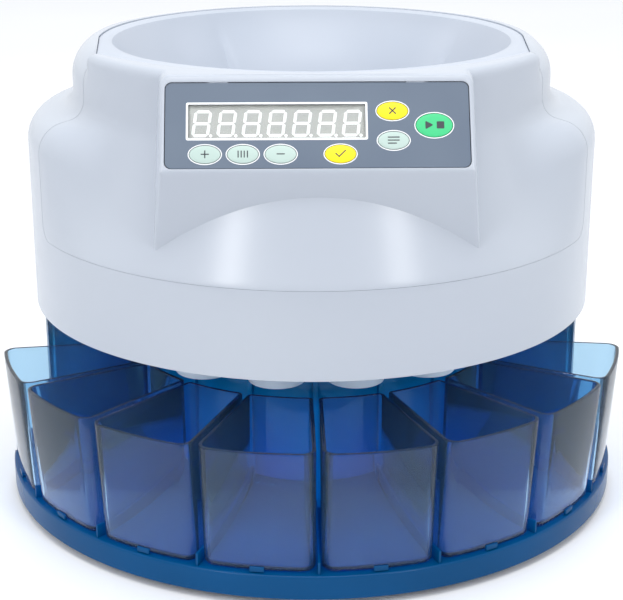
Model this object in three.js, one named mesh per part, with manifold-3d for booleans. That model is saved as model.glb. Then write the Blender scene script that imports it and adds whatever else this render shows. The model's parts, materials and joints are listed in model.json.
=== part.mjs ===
// Eight-channel coin sorting machine: a round housing with a coin hopper and a sloping key console
// stands on a tray that holds eight clear cups in a fan, with the sorting drive between the two.
// Millimetres, +Z up, front towards -Y. An angle is counted from the front (-Y) towards +X.
import * as THREE from "three";
import { LoftGeometry } from "three/addons/geometries/LoftGeometry.js";
import { mergeVertices } from "three/addons/utils/BufferGeometryUtils.js";
import Module from "manifold-3d";

const wasm = await Module();
wasm.setup();

// ---- Driving dimensions ----
const GAP = 0.3; // between pieces that touch
const FACETS = 60; // round a large turned piece
const SMALL_FACETS = 16; // round a small one

// Heights, from the floor up
const FOOT_HEIGHT = 4;
const TRAY_HEIGHT = 13;
const CUP_HEIGHT = 66.2;
const OUTLET_CLEARANCE = 13.5; // cup rim to outlet mouth
const OUTLET_DROP = 16; // outlet mouth to skirt edge
const SKIRT_HEIGHT = 46;
const HOUSING_HEIGHT = 143;
const SHOULDER_DEPTH = 37; // top plane down to the shoulder
const TRACK_HEIGHT = 27; // skirt edge to the sorting plate

// Housing
const SKIRT_RADIUS = 157;
const TOWER_RADIUS = 130;
const HOUSING_WALL = 2.5;
const FRONT_ANGLE = 66; // seam between front cover and main housing
const BLEND_ANGLE = 45; // the front slope is whole inside this angle
const UPPER_LEVEL = 10; // the first level of the outline that belongs to the tower

// Console
const PANEL_LEAN = 32; // from the vertical
const UNDERSIDE_LEAN = 20;
const BEZEL_WIDTH = 149.6;
const BEZEL_HEIGHT = 47.2;
const BEZEL_DROP = 1.5; // its upper edge below the top plane
const BEZEL_SETBACK = 11; // its upper edge behind the tower's front
const CONSOLE_FLARE = 5; // half width gained from the top to the tips
const CONSOLE_WALL = 3.6;
const RECESS_DEPTH = 1.6;
const OVERLAY_WIDTH = 144.6;
const OVERLAY_HEIGHT = 42.8;
const OVERLAY_THICKNESS = 0.8;
const WINDOW_WIDTH = 83.8;
const WINDOW_HEIGHT = 16.5;
const KEY_WIDTH = 14.7;
const KEY_HEIGHT = 8.9;
const START_KEY_WIDTH = 17.5;
const START_KEY_HEIGHT = 11.8;
const KEY_CLEARANCE = 0.25;
const KEY_TRAVEL = 0.8;

// Hopper
const RIM_WIDTH = 9.5;
const FLANGE_CORNER = 63; // angle of the flange's corner, behind which it turns round
const FLANGE_FADE = 96; // past this angle the flange is round
const FLANGE_FLAT = 4.4; // depth taken off the front of the flange
const FLANGE_FRONT_RADIUS = 136; // arc of the flange's front edge
const THROAT_RADIUS = 64;
const HOPPER_WALL = 2.4;
const FLANGE_DEPTH = 3.4;

// Cups and their tray
const CUP_COUNT = 8;
const CUP_PITCH = 20.5; // degrees
const CUP_REACH = 20.5; // rim beyond the skirt
const CUP_DRAFT = 4.5; // front foot behind the rim
const CUP_REAR = 104;
const CUP_WALL = 2.2;
const CUP_SPACING = 2.8; // between neighbours
const CUP_FRONT_CORNER = 9;
const CUP_REAR_CORNER = 3;
const TAB_WIDTH = 7.5;
const TAB_HEIGHT = 3;
const TRAY_ANGLE = 84;
const TRAY_WALL = 3;
const RIB_WIDTH = 1.4;
const RIB_HEIGHT = 7;
const FOOT_RADIUS = 10;
const FOOT_SPREAD = 96; // from the axis, in x and in y
const SCREW_RADIUS = 1.8;
const SCREW_SPREAD_X = 57.6;
const SCREW_SPREAD_Y = 115.2;
const BASE_PLATE_THICKNESS = 2;

// Column and rear shell
const COLUMN_WALL = 2.5;
const COLUMN_RIB = 2.2;
const SHELL_WALL = 2.5;

// Sorting drive
const OUTLET_OFFSET = 9.5; // outlet centre in front of the cups' rear edge
const OUTLET_WALL = 1.5;
const SMALLEST_HOLE = 8.4;
const LARGEST_HOLE = 13.2;
const HOLE_MARGIN = 0.3; // outlet bore beyond the largest hole
const PLATE_THICKNESS = 2.5;
const DISC_THICKNESS = 3;
const DECK_THICKNESS = 3;
const POST_RADIUS = 4;
const POST_OFFSET = 12; // post in front of the outlets
const SHAFT_RADIUS = 4;
const GEAR_MODULE = 1.5;
const GEAR_TEETH = 40;
const PINION_TEETH = 12;
const GEAR_WIDTH = 7;
const MOTOR_RADIUS = 25;
const MOTOR_LENGTH = 58;

// Rear connections
const REAR_PANEL_WIDTH = 90;
const REAR_PANEL_HEIGHT = 32;
const REAR_PANEL_THICKNESS = 2.5;
const INLET_PLACE = 24;
const PORT_PLACE = -5;
const SWITCH_PLACE = -29;
const FLANGE_THICKNESS = 1.5;

// ---- Places worked out from them ----
const trayTop = FOOT_HEIGHT + TRAY_HEIGHT;
const cupLow = trayTop + GAP;
const cupTop = cupLow + CUP_HEIGHT;
const outletLow = cupTop + OUTLET_CLEARANCE;
const skirtLow = outletLow + OUTLET_DROP;
const crease = skirtLow + SKIRT_HEIGHT;
const top = skirtLow + HOUSING_HEIGHT;
const shoulder = top - SHOULDER_DEPTH;
const deckLow = skirtLow + GAP;
const deckTop = deckLow + DECK_THICKNESS;
const plateLow = skirtLow + TRACK_HEIGHT;
const plateTop = plateLow + PLATE_THICKNESS;
const cupRim = SKIRT_RADIUS + CUP_REACH;
const cupFoot = cupRim - CUP_DRAFT;
const trayFront = cupRim - 2;
const trayRear = SKIRT_RADIUS - 3;
const outletCentre = CUP_REAR + OUTLET_OFFSET;
const outletBore = LARGEST_HOLE + HOLE_MARGIN;
const outletRadius = outletBore + OUTLET_WALL;
const columnRadius = outletCentre - outletRadius - 2 * GAP;
const trackInner = outletCentre - outletRadius - 1;
const trackOuter = outletCentre + outletRadius + 3.5;
const flangeRadius = TOWER_RADIUS - 13;
const cupAngles = Array.from({ length: CUP_COUNT }, (_, i) => (i - (CUP_COUNT - 1) / 2) * CUP_PITCH);
const ribAngles = Array.from({ length: CUP_COUNT + 1 }, (_, i) => (i - CUP_COUNT / 2) * CUP_PITCH);
const fourCorners = (x, y) => [[-x, -y], [x, -y], [-x, y], [x, y]];
const footPlaces = fourCorners(FOOT_SPREAD, FOOT_SPREAD);
const screwPlaces = fourCorners(SCREW_SPREAD_X, SCREW_SPREAD_Y);

// ---- Shapes ----
const degrees = THREE.MathUtils.degToRad;
const { lerp, smoothstep } = THREE.MathUtils;

function polar(radius, angle, z = 0) {
  const a = degrees(angle);
  return new THREE.Vector3(radius * Math.sin(a), -radius * Math.cos(a), z);
}

// A closed three.js geometry as a solid for joining and cutting.
function solid(geometry) {
  const bare = geometry.index ? geometry.toNonIndexed() : geometry.clone();
  bare.deleteAttribute("normal");
  bare.deleteAttribute("uv");
  const merged = mergeVertices(bare, 1e-4);
  return new wasm.Manifold(
    new wasm.Mesh({
      numProp: 3,
      vertProperties: merged.attributes.position.array,
      triVerts: new Uint32Array(merged.index.array),
    }),
  );
}

function join(...solids) {
  return solids.reduce((a, b) => a.add(b));
}

function cut(body, ...tools) {
  return tools.reduce((a, b) => a.subtract(b), body);
}

// An outline of [radius, height] pairs turned about Z. It runs up its outer side.
function turned(outline, facets = FACETS) {
  const points = outline.map(([r, z]) => new THREE.Vector2(r, z));
  if (points[0].x > 0) points.push(points[0].clone());
  return solid(new THREE.LatheGeometry(points, facets).rotateX(Math.PI / 2));
}

function ring(inner, outer, low, high, facets = FACETS) {
  return turned([[outer, low], [outer, high], [inner, high], [inner, low]], facets);
}

function rod(radius, low, high, facets = SMALL_FACETS) {
  return turned([[0, low], [radius, low], [radius, high], [0, high]], facets);
}

function prism(shape, low, high, curveSegments = 12) {
  const settings = { depth: high - low, bevelEnabled: false, curveSegments };
  return solid(new THREE.ExtrudeGeometry(shape, settings).translate(0, 0, low));
}

// A box from its lowest to its highest corner.
function block([x0, y0, z0], [x1, y1, z1]) {
  const geometry = new THREE.BoxGeometry(x1 - x0, y1 - y0, z1 - z0);
  return solid(geometry.translate((x0 + x1) / 2, (y0 + y1) / 2, (z0 + z1) / 2));
}

function turnedBy(body, angle) {
  return body.rotate([0, 0, angle]);
}

// Part of a ring between two angles, as an outline.
function band(inner, outer, from, to) {
  const shape = new THREE.Shape();
  shape.absarc(0, 0, outer, degrees(from - 90), degrees(to - 90), false);
  shape.absarc(0, 0, inner, degrees(to - 90), degrees(from - 90), true);
  shape.closePath();
  return shape;
}

// The plan of the tray: a wide front fan that steps in to the round rear.
function trayOutline(front, rear, angle) {
  const shape = new THREE.Shape();
  shape.absarc(0, 0, front, degrees(-angle - 90), degrees(angle - 90), false);
  shape.absarc(0, 0, rear, degrees(angle - 90), degrees(270 - angle), false);
  shape.closePath();
  return shape;
}

// The plan of the hopper's flange: a flatter arc in front that ends in a corner at each side.
function flangeOutline(grow) {
  const centre = FLANGE_FRONT_RADIUS - flangeRadius + FLANGE_FLAT;
  const front = (angle) => {
    const a = degrees(angle);
    return Math.sqrt(FLANGE_FRONT_RADIUS ** 2 - (centre * Math.sin(a)) ** 2) - centre * Math.cos(a);
  };
  const radius = (angle) => {
    const share = smoothstep(angle, FLANGE_CORNER, FLANGE_FADE);
    return angle <= FLANGE_CORNER ? front(angle) : lerp(front(FLANGE_CORNER), flangeRadius, share);
  };
  const step = FLANGE_CORNER / 9;
  const points = [];
  for (let angle = -180; angle < 180 - step / 2; angle += step) {
    const p = polar(radius(Math.abs(angle)) + grow, angle);
    points.push(new THREE.Vector2(p.x, p.y));
  }
  return new THREE.Shape(points);
}

function ellipse(width, height, x = 0, y = 0) {
  const shape = new THREE.Shape();
  shape.absellipse(x, y, width / 2, height / 2, 0, 2 * Math.PI, false, 0);
  return shape;
}

function rectangle(width, height, corner, x = 0, y = 0) {
  const [w, h] = [width / 2 - corner, height / 2 - corner];
  const shape = new THREE.Shape();
  shape.absarc(x + w, y + h, corner, 0, Math.PI / 2, false);
  shape.absarc(x - w, y + h, corner, Math.PI / 2, Math.PI, false);
  shape.absarc(x - w, y - h, corner, Math.PI, 1.5 * Math.PI, false);
  shape.absarc(x + w, y - h, corner, 1.5 * Math.PI, 2 * Math.PI, false);
  shape.closePath();
  return shape;
}

// A spur gear's outline, with a tooth centred on the angle given.
function gearOutline(teeth, firstTooth) {
  const pitchRadius = (GEAR_MODULE * teeth) / 2;
  const corners = [
    [pitchRadius - 1.25 * GEAR_MODULE, -0.34],
    [pitchRadius + GEAR_MODULE, -0.1],
    [pitchRadius + GEAR_MODULE, 0.1],
    [pitchRadius - 1.25 * GEAR_MODULE, 0.34],
  ];
  const points = [];
  for (let tooth = 0; tooth < teeth; tooth++) {
    for (const [radius, share] of corners) {
      const p = polar(radius, firstTooth + ((tooth + share) * 360) / teeth);
      points.push(new THREE.Vector2(p.x, p.y));
    }
  }
  return new THREE.Shape(points);
}

// ---- The assembly ----
const finishes = {
  housing: { color: 0xd7deeb, roughness: 0.35, metalness: 0 },
  blue: { color: 0x004b7d, roughness: 0.3, metalness: 0 },
  clear: { color: 0x46648c, roughness: 0.1, metalness: 0, transparent: true, opacity: 0.5 },
  lavender: { color: 0xd2d4e6, roughness: 0.45, metalness: 0 },
  overlay: { color: 0x7885a0, roughness: 0.4, metalness: 0 },
  window: { color: 0xb2b2ac, roughness: 0.2, metalness: 0 },
  mint: { color: 0xcde4de, roughness: 0.5, metalness: 0 },
  yellow: { color: 0xffe800, roughness: 0.5, metalness: 0 },
  green: { color: 0x3ccd82, roughness: 0.5, metalness: 0 },
  black: { color: 0x1c1d20, roughness: 0.6, metalness: 0 },
  steel: { color: 0xa8abb0, roughness: 0.35, metalness: 1 },
  board: { color: 0x1d5a3a, roughness: 0.5, metalness: 0 },
  white: { color: 0xe8eaee, roughness: 0.4, metalness: 0 },
};

const machine = new THREE.Group();
machine.position.y = CUP_REACH / 2; // the round housing's axis, behind the middle of the whole
const panel = new THREE.Group(); // the console face: x right, y up the slope, z out of it
const lean = degrees(PANEL_LEAN);
panel.position.set(
  0,
  -TOWER_RADIUS + BEZEL_SETBACK - (BEZEL_HEIGHT / 2) * Math.sin(lean),
  top - BEZEL_DROP - (BEZEL_HEIGHT / 2) * Math.cos(lean),
);
panel.rotation.x = degrees(90 - PANEL_LEAN);
panel.updateMatrix();
machine.add(panel);

function place(name, body, finish, parent = machine) {
  const made = body.getMesh();
  const geometry = new THREE.BufferGeometry();
  geometry.setAttribute("position", new THREE.BufferAttribute(made.vertProperties, 3));
  geometry.setIndex(new THREE.BufferAttribute(made.triVerts, 1));
  geometry.computeVertexNormals();
  const mesh = new THREE.Mesh(geometry, new THREE.MeshStandardMaterial(finishes[finish]));
  mesh.name = name;
  parent.add(mesh);
}

function onPanel(body) {
  return body.transform(panel.matrix.elements);
}

// ---- Base: tray, underside plate, feet and screws ----
function makeBase() {
  const outside = trayOutline(trayFront, trayRear, TRAY_ANGLE);
  const inside = trayOutline(trayFront - TRAY_WALL, trayRear - TRAY_WALL, TRAY_ANGLE - 1);
  const floorLow = trayTop - TRAY_WALL;
  let tray = cut(prism(outside, FOOT_HEIGHT, trayTop), prism(inside, FOOT_HEIGHT - 1, floorLow));
  for (const angle of ribAngles) {
    const half = RIB_WIDTH / 2;
    const rib = block([-half, -trayFront + 1, trayTop - 1], [half, -CUP_REAR, trayTop + RIB_HEIGHT]);
    if (Math.abs(angle) < TRAY_ANGLE - 1) tray = join(tray, turnedBy(rib, angle));
  }
  const plateHigh = FOOT_HEIGHT + GAP + BASE_PLATE_THICKNESS;
  for (const [x, y] of screwPlaces) {
    const boss = ring(SCREW_RADIUS + GAP, 5, plateHigh + GAP, floorLow + 1, SMALL_FACETS);
    tray = join(tray, boss.translate([x, y, 0]));
  }
  place("base_tray", tray, "blue");

  const edge = TRAY_WALL + 1;
  const plateShape = trayOutline(trayFront - edge, trayRear - edge, TRAY_ANGLE - 2);
  let plate = prism(plateShape, FOOT_HEIGHT + GAP, plateHigh);
  for (const [x, y] of screwPlaces) {
    plate = cut(plate, rod(SCREW_RADIUS + GAP, 0, trayTop).translate([x, y, 0]));
  }
  place("base_plate", plate, "steel");

  footPlaces.forEach(([x, y], i) => {
    const bevel = 1.5;
    const outline = [
      [0, 0], [FOOT_RADIUS - bevel, 0], [FOOT_RADIUS, bevel], [FOOT_RADIUS, FOOT_HEIGHT], [0, FOOT_HEIGHT],
    ];
    const foot = turned(outline, SMALL_FACETS);
    place("rubber_foot_" + (i + 1), foot.translate([x, y, 0]), "black");
  });
  screwPlaces.forEach(([x, y], i) => {
    const head = rod(2 * SCREW_RADIUS, FOOT_HEIGHT - 1.4, FOOT_HEIGHT, 12);
    const shank = rod(SCREW_RADIUS, FOOT_HEIGHT - 1, floorLow - 1, 12);
    place("base_screw_" + (i + 1), join(head, shank).translate([x, y, 0]), "steel");
  });
}

// ---- Column behind the cups and the rear shell ----
function makeColumn() {
  const high = skirtLow - GAP;
  const end = TRAY_ANGLE + 0.7;
  let column = prism(band(columnRadius - COLUMN_WALL, columnRadius, -end, end), cupLow, high);
  for (const angle of ribAngles) {
    const rib = block([-1.5, -columnRadius - COLUMN_RIB, cupLow], [1.5, -columnRadius + 1, high]);
    column = join(column, turnedBy(rib, angle));
  }
  place("inner_column", column, "blue");

  const [from, to] = [TRAY_ANGLE + 1.2, 360 - TRAY_ANGLE - 1.2];
  const outer = prism(band(columnRadius + 1.5, trayRear, from, to), cupLow, high, 14);
  const inner = band(columnRadius - 10, trayRear - SHELL_WALL, from + 1.1, to - 1.1);
  place("rear_shell", cut(outer, prism(inner, 0, top, 14)), "blue");
}

// ---- Housing ----
// The side outline of the round housing, and the outline of its sloping front, level by level.
function housingOutlines(inset) {
  const s = SKIRT_RADIUS - inset;
  const t = TOWER_RADIUS - inset;
  const high = top - inset;
  const step = shoulder - inset;
  const low = inset > 0 ? skirtLow - 5 : skirtLow;
  const slope = (z) => lerp(s, t + 2.6, (z - crease) / (shoulder - 2 - crease));
  const side = [
    [s, low], [s, crease], [s, lerp(crease, step, 0.3)], [s, step - 29], [s - 0.6, step - 20],
    [s - 1.5, step - 14], [s - 3.5, step - 8.2], [s - 9, step - 3.5], [s - 17.5, step], [t + 2.5, step + 4.5],
    [t, step + 11], [t - 1.2, high - 17], [t - 4.2, high - 7.5], [t - 10.3, high - 1], [t - 15, high],
  ];
  const slopeLevels = Array.from({ length: 7 }, (_, i) => lerp(crease, shoulder - 2, (i + 1) / 7));
  const front = [
    [s, low], [s, crease], ...slopeLevels.map((z) => [slope(z), z]),
    [t, step + 4.5], [t, step + 11], [t, high - 7], [t - 0.8, high - 3], [t - 3, high - 0.7], [t - 6, high],
  ];
  return { side, front };
}

// The whole round housing as a filled solid. The front slope blends into the sides past BLEND_ANGLE,
// and the tower's crisp front edge runs on to the flange's corner.
function housingSolid(inset) {
  const { side, front } = housingOutlines(inset);
  const sections = side.map(([radius, z], level) =>
    Array.from({ length: FACETS }, (_, i) => {
      const angle = (i * 360) / FACETS;
      const fromFront = Math.min(angle, 360 - angle);
      const from = level < UPPER_LEVEL ? BLEND_ANGLE : FLANGE_CORNER - 3;
      const share = 1 - smoothstep(fromFront, from, FRONT_ANGLE);
      const [frontRadius, frontZ] = front[level];
      return polar(lerp(radius, frontRadius, share), angle, lerp(z, frontZ, share));
    }),
  );
  return solid(new LoftGeometry(sections, { capStart: true, capEnd: true }));
}

// The console block: its side outline runs across X, and its front outline trims the ends.
function consoleSolid(inset) {
  const [cy, cz] = [panel.position.y, panel.position.z];
  const half = BEZEL_HEIGHT / 2 - inset;
  const [sin, cos] = [Math.sin(lean), Math.cos(lean)];
  const upper = [cy + half * sin + inset * cos, cz + half * cos - inset * sin];
  const lower = [cy - half * sin + inset * cos, cz - half * cos - inset * sin];
  const foot = crease + 6;
  const under = lower[0] + (lower[1] - foot) * Math.tan(degrees(UNDERSIDE_LEAN));
  const back = -TOWER_RADIUS + 50;
  const edge = [upper[0] + 6, top - inset];
  const sideOutline = [[back, foot], [back, top - inset], edge, upper, lower, [under, foot]];
  const sideShape = new THREE.Shape(sideOutline.reverse().map(([y, z]) => new THREE.Vector2(y, z)));
  const wide = BEZEL_WIDTH / 2 - inset;
  const acrossX = new THREE.ExtrudeGeometry(sideShape, { depth: 2 * BEZEL_WIDTH, bevelEnabled: false });
  acrossX.translate(0, 0, -BEZEL_WIDTH);
  const yAxis = new THREE.Vector3(0, 1, 0);
  const zAxis = new THREE.Vector3(0, 0, 1);
  const xAxis = new THREE.Vector3(1, 0, 0);
  acrossX.applyMatrix4(new THREE.Matrix4().makeBasis(yAxis, zAxis, xAxis));
  const flared = wide + CONSOLE_FLARE;
  const ends = [[flared, foot - 1], [wide, top + 1], [-wide, top + 1], [-flared, foot - 1]];
  const endShape = new THREE.Shape(ends.map(([x, z]) => new THREE.Vector2(x, z)));
  const alongY = new THREE.ExtrudeGeometry(endShape, { depth: 2 * TOWER_RADIUS, bevelEnabled: false });
  alongY.applyMatrix4(new THREE.Matrix4().makeBasis(xAxis, zAxis, yAxis.clone().negate()));
  return solid(acrossX).intersect(solid(alongY));
}

const keys = [
  ["key_plus", -53.4, -14.5, KEY_WIDTH, KEY_HEIGHT, "mint"],
  ["key_batch", -35.5, -14.5, KEY_WIDTH, KEY_HEIGHT, "mint"],
  ["key_minus", -17.6, -14.5, KEY_WIDTH, KEY_HEIGHT, "mint"],
  ["key_set", 10.7, -14.5, KEY_WIDTH, KEY_HEIGHT, "yellow"],
  ["key_clear", 35.7, 6.9, KEY_WIDTH, KEY_HEIGHT, "yellow"],
  ["key_report", 36.0, -7.9, KEY_WIDTH, KEY_HEIGHT, "mint"],
  ["key_start", 55.5, -0.4, START_KEY_WIDTH, START_KEY_HEIGHT, "green"],
];
const windowX = -19.3;
const windowY = 2.05;

function makeHousing() {
  const mouth = prism(flangeOutline(GAP), shoulder, top + 1);
  const shell = cut(housingSolid(0), housingSolid(HOUSING_WALL), mouth);
  const seam = band(1, 2 * SKIRT_RADIUS, -FRONT_ANGLE, FRONT_ANGLE);
  const seamGap = band(1, 2 * SKIRT_RADIUS, -FRONT_ANGLE - 0.15, FRONT_ANGLE + 0.15);
  const rearOpening = block(
    [-REAR_PANEL_WIDTH / 2 - GAP, 0, rearPanelLow - GAP],
    [REAR_PANEL_WIDTH / 2 + GAP, 2 * SKIRT_RADIUS, rearPanelLow + REAR_PANEL_HEIGHT + GAP],
  );
  place("main_housing", cut(shell, prism(seamGap, crease, top + 1, 3), rearOpening), "housing");

  const [halfWide, halfHigh] = [BEZEL_WIDTH / 2, BEZEL_HEIGHT / 2];
  const ahead = onPanel(block([-halfWide, -halfHigh, 0], [halfWide, 2 * halfHigh, BEZEL_HEIGHT]));
  const tower = cut(housingSolid(0), ahead);
  const filled = join(tower, consoleSolid(0)).intersect(prism(seam, crease + GAP, top + 1, 3));
  const hollow = join(housingSolid(HOUSING_WALL), consoleSolid(CONSOLE_WALL));
  const recess = prism(rectangle(OVERLAY_WIDTH + 2 * GAP, OVERLAY_HEIGHT + 2 * GAP, 3), -RECESS_DEPTH, 6, 4);
  const ledge = 1;
  const windowHole = rectangle(WINDOW_WIDTH - 2 * ledge, WINDOW_HEIGHT - 2 * ledge, 0.5, windowX, windowY);
  let cover = cut(filled, hollow, mouth);
  cover = cut(cover, onPanel(recess), onPanel(prism(windowHole, -20, 1, 2)));
  for (const [, x, y, width, height] of keys) {
    const hole = ellipse(width + 4 * KEY_CLEARANCE, height + 4 * KEY_CLEARANCE, x, y);
    cover = cut(cover, onPanel(prism(hole, -20, 1, 7)));
  }
  place("front_cover", cover, "housing");
}

// ---- Console face: overlay, window, display, board and keys ----
function makePanel() {
  const face = -RECESS_DEPTH + GAP;
  const overlayShape = rectangle(OVERLAY_WIDTH, OVERLAY_HEIGHT, 3);
  overlayShape.holes.push(rectangle(WINDOW_WIDTH + 2 * GAP, WINDOW_HEIGHT + 2 * GAP, 0.5, windowX, windowY));
  for (const [, x, y, width, height] of keys) {
    overlayShape.holes.push(ellipse(width + 2 * KEY_CLEARANCE, height + 2 * KEY_CLEARANCE, x, y));
  }
  place("panel_overlay", prism(overlayShape, face, face + OVERLAY_THICKNESS, 7), "overlay", panel);
  const pane = rectangle(WINDOW_WIDTH, WINDOW_HEIGHT, 0.5, windowX, windowY);
  place("display_window", prism(pane, face, face + OVERLAY_THICKNESS, 2), "window", panel);

  const displayHigh = -CONSOLE_WALL - GAP;
  const boardHigh = displayHigh - 6 - GAP;
  const digits = rectangle(WINDOW_WIDTH + 2, WINDOW_HEIGHT + 2, 0.5, windowX, windowY);
  place("display_module", prism(digits, boardHigh + GAP, displayHigh, 2), "black", panel);
  const boardShape = rectangle(OVERLAY_WIDTH - 12, OVERLAY_HEIGHT - 8, 1, 0, -1);
  place("main_board", prism(boardShape, boardHigh - 1.6, boardHigh, 2), "board", panel);

  const keyLow = boardHigh + KEY_TRAVEL + GAP;
  const keyHigh = face + OVERLAY_THICKNESS + 0.5;
  for (const [name, x, y, width, height, finish] of keys) {
    place(name, prism(ellipse(width, height, x, y), keyLow, keyHigh, 7), finish, panel);
  }
}

// ---- Hopper ----
function makeHopper() {
  const bowlRim = flangeRadius - RIM_WIDTH;
  const throatLow = plateTop + 10.5;
  const outline = [
    [bowlRim + 3, top - FLANGE_DEPTH], [bowlRim + 3, top], [bowlRim + 1.5, top],
    [bowlRim, top - 1.5], [bowlRim - 3.5, top - 8],
    [THROAT_RADIUS + 2, throatLow + 19], [THROAT_RADIUS, throatLow],
    [THROAT_RADIUS + HOPPER_WALL, throatLow], [THROAT_RADIUS + HOPPER_WALL + 2.2, throatLow + 18.4],
    [bowlRim - 1.1, top - 8.5], [bowlRim + 1.5, top - FLANGE_DEPTH],
  ];
  const flange = cut(prism(flangeOutline(0), top - FLANGE_DEPTH, top), rod(bowlRim + 2, 0, top + 1, FACETS));
  place("hopper", join(turned(outline), flange), "lavender");
}

// ---- Cups ----
// The plan of one cup, centred on the front, drawn inward by inset, with its front at the radius given.
function cupOutline(front, inset, z) {
  const half = degrees(CUP_PITCH / 2);
  const margin = CUP_SPACING / 2 + inset;
  const outer = front - inset;
  const inner = CUP_REAR + inset;
  // the side line stays margin inside the line between two cups
  const sideAt = (radius) => half - Math.asin(margin / radius);
  const frontCorner = Math.max(CUP_FRONT_CORNER - inset, 1);
  const rearCorner = Math.max(CUP_REAR_CORNER - inset, 0.6);
  const corner = (radius, size, sign) => {
    const centreRadius = radius - sign * size;
    const centreAngle = half - Math.asin((margin + size) / centreRadius);
    const centre = polar(centreRadius, THREE.MathUtils.radToDeg(centreAngle));
    const start = sign > 0 ? centreAngle - Math.PI / 2 : half;
    const end = sign > 0 ? half : centreAngle + Math.PI / 2;
    return Array.from({ length: 4 }, (_, i) => {
      const a = lerp(start, end, i / 3);
      return new THREE.Vector3(centre.x + size * Math.cos(a), centre.y + size * Math.sin(a), z);
    });
  };
  const right = [...corner(outer, frontCorner, 1), ...corner(inner, rearCorner, -1)];
  const left = right.map((p) => new THREE.Vector3(-p.x, p.y, z)).reverse();
  const reach = sideAt(outer) / 3;
  const middle = [-1, 0, 1].map((i) => polar(outer, THREE.MathUtils.radToDeg(i * reach), z));
  return [...middle, ...right, ...left];
}

function makeCups() {
  const outer = new LoftGeometry([cupOutline(cupFoot, 0, cupLow), cupOutline(cupRim, 0, cupTop)], {
    capStart: true,
    capEnd: true,
  });
  const rise = CUP_WALL / CUP_HEIGHT;
  const insideFoot = lerp(cupFoot, cupRim, rise);
  const insideHigh = cupTop + CUP_WALL;
  const inner = new LoftGeometry(
    [
      cupOutline(insideFoot, CUP_WALL, cupLow + CUP_WALL),
      cupOutline(lerp(cupFoot, cupRim, 1 + rise), CUP_WALL, insideHigh),
    ],
    { capStart: true, capEnd: true },
  );
  const tabHalf = TAB_WIDTH / 2;
  const tab = block([-tabHalf, -cupFoot - 1.2, cupLow], [tabHalf, -cupFoot + 1.5, cupLow + TAB_HEIGHT]);
  const cup = join(cut(solid(outer), solid(inner)), tab);
  cupAngles.forEach((angle, i) => place("coin_cup_" + (i + 1), turnedBy(cup, angle), "clear"));
}

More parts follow.
